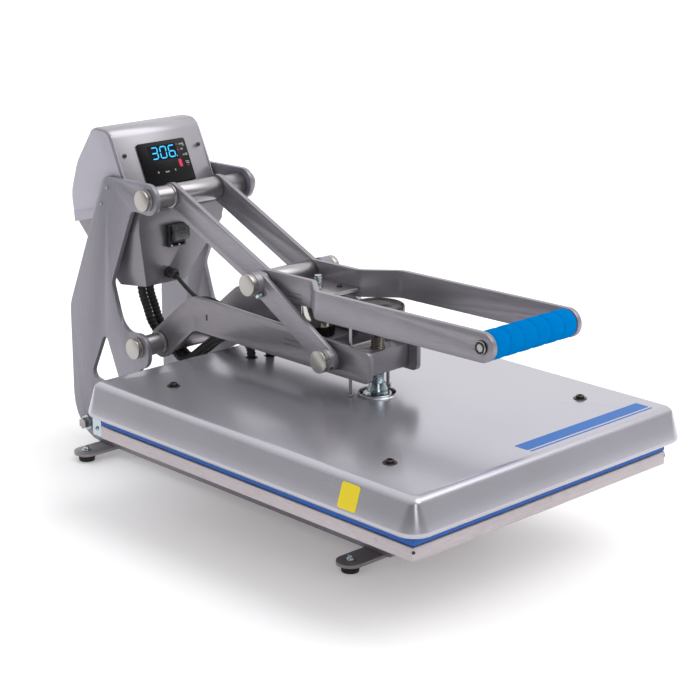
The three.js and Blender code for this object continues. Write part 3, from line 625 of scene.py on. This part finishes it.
# ---------------------------------------------------------------- pressure screw
def threaded(name, centre_y, z0, z1, radius, depth, pitch, body, **more):
    """An upright screw thread from height z0 to z1, cut depth mm into the radius."""
    sides, per_turn = 28, 8
    rows = int((z1 - z0) / pitch * per_turn)
    verts, faces = [], []
    for k in range(rows + 1):
        z = z0 + (z1 - z0) * k / rows
        for i in range(sides):
            phase = (z / pitch - i / sides) % 1.0
            r = radius - depth * abs(2 * phase - 1)
            if k in (0, rows):
                r = radius - depth
            a = i / sides * TAU
            verts.append(at(r * math.cos(a), centre_y + r * math.sin(a), z))
    faces += tube_faces(rows + 1, sides)
    faces += [tuple(range(sides))[::-1], tuple(range(rows * sides, (rows + 1) * sides))]
    return build(name, verts, faces, "zinc", body, angle=60, **more)


def two_tone_screw():
    """Bright zinc low down, dark oiled steel above the block."""
    t = Tree("screw_thread")
    t.shader.inputs["Metallic"].default_value = 1.0
    coords = t.add("TexCoord")
    height = t.add("SeparateXYZ")
    t.wire(coords.outputs["Object"], height.inputs["Vector"])
    drift = t.math("ADD", height.outputs["Z"], t.math("MULTIPLY", t.noise(160.0), 0.012))
    mix = t.add("Mix", {"A": linear(178, 192, 198), "B": linear(112, 106, 98)}, data_type="RGBA")
    t.wire(t.ranged(drift, 0.0, 1.0, 0.205, 0.216), mix.inputs["Factor"])
    t.wire(mix.outputs["Result"], t.shader.inputs["Base Color"])
    t.wire(t.ranged(t.noise(900.0), 0.18, 0.34), t.shader.inputs["Roughness"])
    return t.material


MATERIALS["screw_thread"] = two_tone_screw()
THREAD_RADIUS, THREAD_DEPTH, PITCH = 7.9, 0.8, 2.0
thread = threaded(
    "spindle_thread", SPINDLE_Y, 156.5, 257, THREAD_RADIUS, THREAD_DEPTH, PITCH, "spindle",
    slot="turned_steel", replaces=("spindle",),
)
thread.data.materials[0] = MATERIALS["screw_thread"]
SPINDLE_RINGS = {  # body, material, sides and profile of the rings round the spindle's foot
    "spindle_flange_nut": (
        "spindle", "zinc", 32,
        [
            (8.0, 176.2), (9.0, 176.0), (9.6, 173.5), (10.6, 170.6),
            (11.9, 168.4), (12.1, 166.6), (11.7, 166.0), (8.2, 166.0),
        ],
    ),
    "spindle_thrust_ring": (
        "spindle", "zinc", 36,
        [(9, 160.6), (15.5, 160.6), (16.6, 161.2), (16.8, 162.6), (16.2, 163.4), (10.6, 163.4), (9, 163.0)],
    ),
    "socket_race": (
        "platen", "brass_race", 40,
        [
            (12, 152), (19.6, 152), (20.2, 153.0), (20.2, 158.0),
            (19.4, 159.0), (17.4, 158.4), (17.0, 154.5), (12, 154.2),
        ],
    ),
}
for name, (body, material, sides, profile) in SPINDLE_RINGS.items():
    turned(name, profile, at(0, SPINDLE_Y, 0), UP, material, body, sides)


def knob():
    """The hand knob: a fluted rim round a sunk cap."""
    sides, flute = 96, 0.7
    profile = [  # radius, height and whether the ring is fluted
        (8.4, 253.2, False),
        (23.5, 253.2, False),
        (26.5, 254.0, False),
        (29.6, 255.4, False),
        (30.2, 256.2, True),
        (30.3, 258.0, True),
        (30.3, 264.6, True),
        (30.1, 266.0, True),
        (29.4, 267.0, False),
        (28.2, 267.4, False),
        (27.2, 267.0, False),
        (26.8, 266.3, False),
    ]
    verts, faces = [], []
    for radius, z, fluted in profile:
        for i in range(sides):
            a = i / sides * TAU
            r = radius - (flute if fluted and i % 4 in (0, 1) else 0.0)
            verts.append(at(r * math.cos(a), SPINDLE_Y + r * math.sin(a), z))
    faces += tube_faces(len(profile), sides)
    faces += [tuple(range(sides))[::-1], tuple(range((len(profile) - 1) * sides, len(profile) * sides))]
    build(
        "knob_body", verts, faces, "spindle_black", "spindle",
        slot="spindle_black", replaces=("pressure_knob",), angle=40,
    )
    cap = [(26.4, 266.2), (26.2, 266.7), (25.4, 267.0), (9.0, 267.1), (8.4, 266.8), (0.01, 266.7)]
    turned("knob_cap", cap, at(0, SPINDLE_Y, 0), UP, "dark_steel", "spindle", 64)


knob()
for side, name in SIDES:
    hex_nut("guide_nut_" + name, at(side * 30, 268, 217.2), UP, 8.5, 2.8, "zinc", "arm", 2.2)

# ---------------------------------------------------------------- magnet and strike plate
turned(
    "magnet_body",
    [(19.0, 212.2), (19.8, 213.0), (19.8, 224.0), (19.2, 224.5)],
    at(0, MAGNET_Y, 0), UP, "spindle_black", "arm", 48, slot="magnet_chrome", replaces=("electromagnet",),
)
turned(
    "magnet_face",
    [
        (19.2, 224.3), (20.0, 224.9), (20.0, 261.8), (19.4, 262.8), (15.6, 263.1), (15.2, 262.3),
        (11.2, 262.3), (10.8, 263.1), (2.4, 263.1), (2.2, 262.0), (0.01, 262.0),
    ],
    at(0, MAGNET_Y, 0), UP, "magnet_chrome", "arm", 48,
)
hex_nut("magnet_nut", at(0, MAGNET_Y, 201.6), UP, 15, 4.2, "zinc", "arm")


def coil(name, x, y, z0, z1, radius, wire, turns, material, body):
    """An upright coil spring."""
    per_turn = 14
    points = []
    steps = turns * per_turn
    for k in range(steps + 1):
        a = k / per_turn * TAU
        points.append(at(x + radius * math.cos(a), y + radius * math.sin(a), z0 + (z1 - z0) * k / steps))
    sleeve(name, points, wire, material, body, steps * 2, 8)


coil("strike_spring", 0, MAGNET_Y, 272.6, 280.5, 4.3, 0.55, 6, "zinc", "handle")
hex_nut("strike_stud_nut", at(0, MAGNET_Y, 280.9), UP, 8.0, 1.9, "zinc", "handle")
for side, name in SIDES:
    socket_screw("strike_screw_" + name, at(side * 20, 338, 268.0), UP, 3.4, 2.0, "dark_steel", "handle", 0.5)

# ---------------------------------------------------------------- grip
def grip():
    """A soft sleeve of equal bands, each drawn in towards the grooves at its ends."""
    bands, half, radius, bore, end_radius = 6, 63.2, 15.9, 9.6, 14.6
    band_shape = (  # how far along a band, and how far below the full radius
        (0.0, 1.25), (0.05, 0.75), (0.12, 0.3), (0.24, 0.05),
        (0.5, 0.0), (0.76, 0.05), (0.88, 0.3), (0.95, 0.75),
    )
    width = 2 * half / bands
    profile = [(bore, -half)]
    for b in range(bands):
        start = -half + b * width
        for along, below in band_shape:
            profile.append((radius - below, start + along * width))
    profile += [(end_radius, half), (bore, half), (bore, -half)]
    turned(
        "grip_sleeve", profile, at(0, GRIP_Y, GRIP_Z), (1, 0, 0), "grip_foam", "handle", 40,
        slot="grip_foam", replaces=("grip",),
    )


grip()
for side, name in SIDES:
    out = Vector((side, 0, 0))
    place = at(side * 70.0, GRIP_Y, GRIP_Z)
    socket_screw("grip_screw_" + name, place, out, 7.8, 3.6, "spindle_black", "handle", 0.5)

# ---------------------------------------------------------------- pins, screws and seams
PIN_FACE = [  # a rim, a turned groove and a slightly raised middle
    (11.6, -0.3), (11.4, 0.2), (10.7, 0.42), (9.7, 0.4), (9.4, 0.04), (8.3, 0.04), (7.9, 0.3), (0.01, 0.38),
]
PINS = (  # name, body, half length, Y and Z
    ("upper_pin", "base", 85.5, 571, 347.5),
    ("lower_pin", "base", 85.5, 597, 157.5),
    ("front_pin", "links", 65.0, 285, 206),
    ("knee_pin", "links", 68.5, 401, 273),
)
TAB_SEAMS = (  # name, body, face, from Y, to Y and the two heights
    ("arm", "arm", 41.0, 338, 366, 205.8, 211.9),
    ("lever", "handle", 39.0, 338, 362, 263.4, 268.2),
)
for side, name in SIDES:
    out = Vector((side, 0, 0))
    for pin, body, end, y, z in PINS:
        place = at(side * (end - 0.42), y, z)
        turned(f"{pin}_face_{name}", PIN_FACE, place, out, "pin_face", body, 40)
    for k, (y, z) in enumerate(((649.6, 352), (662, 330))):
        cross_screw(f"tower_screw_{name}_{k}", at(side * 77.0, y, z), out, 2.6, "zinc", "base", 0.3 + k)
    hex_nut(f"tie_washer_{name}", at(side * 77.1, 708.5, 33), out, 18.5, 0.9, "zinc", "base")
    # set screws sunk in the bosses of the short links, drawn as dark discs: painted shade of their holes
    turned(
        "boss_dimple_" + name, [(2.1, 0.0), (2.0, 0.3), (0.01, 0.3)],
        at(side * 54.2, 273.7, 199.5), (0, -0.87, -0.5), "seam_dark", "links", 14,
    )
    nut_place = at(side * 55.5, 393.2, 261.9)
    hex_nut("boss_nut_" + name, nut_place, (0, -0.55, -0.83), 8.4, 4.2, "zinc", "links", 1.8)
    # joints of the cross plates' tabs in the arm and the lever
    for tag, body, face, y0, y1, *heights in TAB_SEAMS:
        seam = rounded(rectangle(0, y1 - y0, -0.28, 0.28, 0.2), 45)
        start = y0 if side > 0 else y1
        for k, z in enumerate(heights):
            place = at(side * (face - 0.05), start, z)
            prism(f"{tag}_tab_seam_{name}_{k}", seam, place, (0, side, 0), UP, 0.14, "seam_dark", body)
    # slots in the arms' outer faces, drawn as thin dark marks: painted shade of the slots
    prism(
        "arm_slot_" + name, rounded(rectangle(-1.5, 1.5, -4, 4, 1.45), 30),
        at(side * 40.95, 506, 208), (0, side, 0), UP, 0.12, "seam_dark", "arm",
    )

FEET = ((-112, 183), (112, 183), (-108.5, 668.5), (108.5, 668.5))
FOOT_SCREW = [
    (6.4, 13.0), (6.4, 13.9), (5.0, 14.0), (4.4, 14.2), (4.2, 15.4), (3.6, 16.6), (2.6, 17.3), (2.5, 18.4),
    (1.9, 19.4), (0.01, 19.8),
]
FOOT_COLLAR = [(10.2, 8.7), (10.9, 8.5), (11.1, 7.6), (10.9, 6.8), (10.6, 6.5)]
for i, (x, y) in enumerate(FEET):
    turned(f"foot_screw_{i}", FOOT_SCREW, at(x, y, 0), UP, "zinc", "base", 20)
    turned(f"foot_collar_{i}", FOOT_COLLAR, at(x, y, 0), UP, "foot_rubber", "base", 28)

# the hood's bright rims and the flanges below its sides, as Y, Z and corner radius
HOOD_RIM = [
    (614, 340, 2), (653, 419.2, 18), (683.5, 419.2, 17),
    (718.4, 371.5, 59), (732.6, 332, 39), (729.6, 308, 4),
]
HOOD_FLANGE = [(604, 328, 1), (731, 294, 1), (732.5, 309, 1), (613, 342, 1)]
for side, name in SIDES:
    # the rim stops short of the arcs at its two lower ends
    rim_line = [at(side * 67.6, y, z) for y, z in rounded(HOOD_RIM, 8)[2:-3]]
    sleeve("hood_rim_" + name, rim_line, 1.7, "hood_paint", "base", 90, 10)
    prism(
        "hood_flange_" + name, [(side * u, v) for u, v in rounded(HOOD_FLANGE, 30)],
        at(side * 66.4, 0, 0), (0, side, 0), UP, 1.2, "hood_side", "base",
    )

# corner brackets between the bed and the cover, at the rear
for side, name in SIDES:
    prism(
        "rear_bracket_" + name, rounded(rectangle(0, 16, 0, 21, 2.0), 30),
        at(side * 200.0, 508.6 if side > 0 else 524.6, 93.5), (0, side, 0), UP, 1.6, "zinc", "base",
        edge=0.0003,
    )
    cross_screw("rear_bracket_screw_" + name, at(side * 201.6, 516, 103), (side, 0, 0), 2.6, "zinc", "base")
    diagonal = Vector((side, -1, 0)).normalized()
    turned(
        "bed_corner_screw_" + name,
        [(1.9, 0), (1.9, 0.25), (1.5, 0.45), (0.9, 0.45), (0.8, 0.2), (0.01, 0.2)],
        at(side * 202.4, 0.8, 103.5), diagonal, "dark_steel", "base", 18,
    )

# ---------------------------------------------------------------- plain marks
wall_up = Vector((9.5, 0, 29)).normalized()  # the side wall's slope
prism(
    "plain_label", rounded(rectangle(-13, 13, -13.5, 13.5, 3), 15),
    at(-214.15, 80, 143), (0, -1, 0), wall_up, 0.25, "label_yellow", "platen",
)
for k, (y0, y1) in enumerate(((12, 30), (6.5, 9))):
    prism(
        f"plain_stripe_{k}", rounded(rectangle(-22, 184, y0, y1, 1.2), 15),
        at(0, 0, 162.36), (1, 0, 0), (0, 1, 0), 0.14, "stripe_blue", "platen",
    )

# ---------------------------------------------------------------- display
TILT = math.radians(25.6)
FACE_OUT = Vector((0, -math.cos(TILT), math.sin(TILT)))
FACE_UP = Vector((0, math.sin(TILT), math.cos(TILT)))
FACE_RIGHT = Vector((1, 0, 0))
PANEL = at(0, 628.8, 374.9) + FACE_OUT * 1.68 * MM


def on_panel(name, outline, material, lift=0.02, depth=0.12):
    """A thin mark on the display's window."""
    place = PANEL + FACE_OUT * lift * MM
    prism(name, outline, place, FACE_RIGHT, FACE_UP, depth, material, "base", slot="display_gloss")


DIGIT_WIDTH, DIGIT_HEIGHT, DIGIT_BASE, DIGIT_SLANT = 8.8, 14.4, 5.6, 0.096


def segment_digit(name, u, lit):
    """A leaning seven-segment digit; lit names its lit segments."""
    width, height = DIGIT_WIDTH, DIGIT_HEIGHT
    t = width * 0.17
    mid = height / 2
    bars = {
        "a": (0, height, width, height),
        "d": (0, 0, width, 0),
        "g": (0, mid, width, mid),
        "f": (0, mid, 0, height),
        "b": (width, mid, width, height),
        "e": (0, 0, 0, mid),
        "c": (width, 0, width, mid),
    }
    gap = t * 0.28
    for key in lit:
        x0, y0, x1, y1 = bars[key]
        near, far = gap, gap + t / 2
        if y0 == y1:
            shape = [
                (x0 + near, y0), (x0 + far, y0 + t / 2), (x1 - far, y0 + t / 2),
                (x1 - near, y0), (x1 - far, y0 - t / 2), (x0 + far, y0 - t / 2),
            ]
        else:
            shape = [
                (x0, y0 + near), (x0 + t / 2, y0 + far), (x0 + t / 2, y1 - far),
                (x0, y1 - near), (x0 - t / 2, y1 - far), (x0 - t / 2, y0 + far),
            ]
        leaning = [(u + x + DIGIT_SLANT * y, DIGIT_BASE + y) for x, y in shape]
        on_panel(f"{name}_{key}", leaning, "digit_blue", 0.1)


on_panel("digit_field", rounded(rectangle(-23, 21, 3, 22.5, 0.8), 45), "digit_window", 0.01, 0.08)
segment_digit("digit_three", -19.0, "abgcd")
segment_digit("digit_zero", -5.6, "abcdef")
segment_digit("digit_six", 7.8, "acdefg")
on_panel("digit_point", rounded(rectangle(18.2, 19.8, 5.0, 6.6, 0.7), 45), "digit_blue", 0.1)
on_panel("heat_lamp", rounded(rectangle(18.6, 23.4, -8.6, 1.4, 1.6), 20), "led_red")
PANEL_MARKS = (  # middle, half width, half height and material of each plain mark
    (-16.8, -11.5, 1.2, 1.2, "icon_grey"),
    (-2.9, -12.2, 3.2, 0.9, "icon_grey"),
    (10.0, -11.4, 1.0, 1.3, "icon_grey"),
    (22.6, 20.5, 1.3, 1.0, "icon_red"),
    (22.8, 13.0, 1.4, 1.0, "icon_red"),
    (29.0, 20.0, 2.6, 0.9, "icon_grey"),
    (32.6, 19.2, 0.9, 2.4, "icon_grey"),
    (28.8, 13.4, 1.8, 1.1, "icon_grey"),
    (29.6, 5.8, 1.8, 0.9, "icon_grey"),
    (33.6, 6.2, 1.4, 1.6, "icon_grey"),
    (31.6, -3.0, 2.4, 0.8, "icon_grey"),
    (32.2, -5.2, 2.4, 0.7, "icon_grey"),
    (32.0, -8.0, 1.6, 0.7, "icon_red"),
)
for k, (u, v, w, h, kind) in enumerate(PANEL_MARKS):
    mark = rounded(rectangle(u - w, u + w, v - h, v + h, min(w, h) * 0.4), 45)
    on_panel(f"panel_mark_{k}", mark, kind)

FACE_SCREW_Z = 389.5
FACE_SCREW_Y = 616.9 + 0.48 * (FACE_SCREW_Z - 350.1)  # on the sloped face of the hood
for side, name in SIDES:
    place = at(side * 57.9, FACE_SCREW_Y, FACE_SCREW_Z) + FACE_OUT * 0.1 * MM
    cross_screw("face_screw_" + name, place, FACE_OUT, 2.7, "dark_steel", "base", 0.4)

# ---------------------------------------------------------------- switch and sockets
def switch_hood():
    """A clear cover over the upper part of the switch: two cheeks, a roof and a front, in a thin shell."""
    outline = [(593.8, 283.5), (588.0, 285.5), (585.8, 289.5), (586.6, 300.5), (588.0, 302.6), (593.8, 304.2)]
    x0, x1, t = -21.0, 1.2, 1.0
    verts, faces = [], []
    for x, inset in ((x0, 0), (x1, 0), (x0 + t, 1), (x1 - t, 1)):
        for y, z in outline:
            if inset:
                y = y + t if y < 594 else y
                z = z - t if z > 300 else (z + t if z < 284 else z)
            verts.append(at(x, y, z))
    n = len(outline)
    outer_left, outer_right, inner_left, inner_right = (list(range(k * n, (k + 1) * n)) for k in range(4))
    faces += [tuple(outer_left[::-1]), tuple(outer_right), tuple(inner_left), tuple(inner_right[::-1])]
    for i in range(n - 1):
        faces.append((outer_left[i], outer_left[i + 1], outer_right[i + 1], outer_right[i]))
        faces.append((inner_left[i + 1], inner_left[i], inner_right[i], inner_right[i + 1]))
    return build("switch_clear_hood", verts, faces, "clear_hood", "base")


switch_hood()
for k, x in enumerate((-21.5, -9.5)):
    dot = [(1.2, 0.0), (1.1, 0.25), (0.01, 0.3)]
    turned(f"switch_dot_{k}", dot, at(x, 594.0, 278.6), FRONT, "label_white", "base", 16)
turned(
    "gland_nut", [(6.0, 0), (6.6, 0.5), (6.6, 3.6), (5.6, 5.2), (3.4, 6.4), (3.3, 5.0)],
    at(GLAND_X, 590.6, GLAND_Z), FRONT, "cable_black", "base", 24,
)

# ---------------------------------------------------------------- wire sleeves
SLEEVE_RADIUS, SLEEVE_RIDGE, SLEEVE_PITCH = 5.6, 0.9, 5.2
SLEEVES = (  # name, X below the box, X between the arms, and the hole it ends in
    ("left", -29.5, -6.2, WIRE_HOLES[0]),
    ("right", -17, 6.2, WIRE_HOLES[1]),
)
for name, x, far, (end_x, end_y) in SLEEVES:
    route = [
        (x - 14, 629, 225.2),
        (x - 13, 628, 214),
        (x - 8, 627, 197),
        (x - 2, 625, 176),
        ((x + far) / 2, 622, 154),
        (far, 614, 136),
        (far, 600, 129.6),
        (far, 587, 131.2),
        (far, 574, 138.5),
        (far, 556, 152),
        (far, 534, 167),
        ((far + end_x) / 2, 506, 178),
        (end_x, end_y + 18, 181),
        (end_x, end_y + 3.5, 176),
        (end_x, end_y, 164),
        (end_x, end_y, 156.2),
    ]
    tube = sleeve(
        "wire_sleeve_" + name, [at(*p) for p in route], SLEEVE_RADIUS, "cable_black", None, 300, 16,
        SLEEVE_RIDGE, SLEEVE_PITCH, 2,
        slot="cable_black", replaces=(f"conduit_{name}_tower", f"conduit_{name}_arm"),
    )
    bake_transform(tube)

LEAD_RADIUS = 2.6
LEAD_ROUTE = [
    (GLAND_X, 597, GLAND_Z),
    (GLAND_X, 589, GLAND_Z),
    (-22.4, 577, 236.5),
    (-21.8, 565, 229),
    (-21.2, 555, 223.6),
    (-20, 548.5, 220.8),
    (-17.5, 546, 219.8),
    (-14, 545.3, 219.4),
    (-10, 544.5, 219.0),
    (-6.5, 541.5, 218),
    (-3, 533, 215.6),
    (0, 517, 209.6),
    (0, 490, 201),
    (0, 450, 198),
    (0, 420, 198),
    (0, 387, 200),
    (0, 377.5, 203),
]
lead = sleeve(
    "magnet_lead", [at(*p) for p in LEAD_ROUTE], LEAD_RADIUS, "cable_black", None, 110, 12, 0.0, 3.0, 1,
    slot="cable_black", replaces=("magnet_lead_tower", "magnet_lead_arm"),
)
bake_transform(lead)

# ---------------------------------------------------------------- stage
floor_mesh = bpy.data.meshes.new("floor")
REACH = 30  # metres of floor each way
corners = [(-REACH, -REACH, 0), (REACH, -REACH, 0), (REACH, REACH, 0), (-REACH, REACH, 0)]
floor_mesh.from_pydata(corners, [], [(0, 1, 2, 3)])
floor = link(bpy.data.objects.new("floor", floor_mesh))
floor_white = surface("floor_white", (0.92, 0.92, 0.92, 1), 0.9, 0.0, 60, 0.0, 0.005, 0.005)
floor_shader = floor_white.node_tree.nodes["Principled BSDF"]
floor_shader.inputs["Emission Color"].default_value = (1.0, 0.985, 0.985, 1)
floor_shader.inputs["Emission Strength"].default_value = 0.215
floor.data.materials.append(floor_white)

# a sky dim low at the front left and bright high at the rear right; the camera itself sees it white
SKY_BRIGHTEST = (0.40, 0.40, 0.82)
SKY_RANGE = (-0.27, 0.85, 0.04, 1.18)  # lowest and highest cosine, then the strengths there
world = bpy.data.worlds.new("world")
world.use_nodes = True
sky = world.node_tree
background = sky.nodes["Background"]
background.inputs["Color"].default_value = (0.985, 0.985, 1.0, 1)
direction = sky.nodes.new("ShaderNodeTexCoord")
toward = sky.nodes.new("ShaderNodeVectorMath")
toward.operation = "DOT_PRODUCT"
toward.inputs[1].default_value = Vector(SKY_BRIGHTEST).normalized()
level = sky.nodes.new("ShaderNodeMapRange")
for socket, value in enumerate(SKY_RANGE, 1):
    level.inputs[socket].default_value = value
path = sky.nodes.new("ShaderNodeLightPath")
seen = sky.nodes.new("ShaderNodeMix")
seen.inputs["B"].default_value = 1.0
sky.links.new(direction.outputs["Generated"], toward.inputs[0])
sky.links.new(toward.outputs["Value"], level.inputs[0])
sky.links.new(level.outputs[0], seen.inputs["A"])
sky.links.new(path.outputs["Is Camera Ray"], seen.inputs["Factor"])
sky.links.new(seen.outputs["Result"], background.inputs["Strength"])
scene.world = world


def aimed(lamp, place, target):
    """Puts a lamp at place, pointing at target."""
    lamp.location = place
    lamp.rotation_euler = (Vector(target) - Vector(place)).to_track_quat("-Z", "Y").to_euler()


sun = bpy.data.lights.new("sun", "SUN")
sun.energy = 1.22
sun.angle = math.radians(50)
aimed(link(bpy.data.objects.new("sun", sun)), (0.9, -1.3, 2.2), (0, 0, 0))
strip = bpy.data.lights.new("strip", "AREA")
strip.energy = 7
strip.shape = "RECTANGLE"
strip.size, strip.size_y = 0.75, 1.2
aimed(link(bpy.data.objects.new("strip", strip)), (-1.25, -2.35, 1.0), (0, 0, 0.15))
scene.view_settings.view_transform = "Standard"
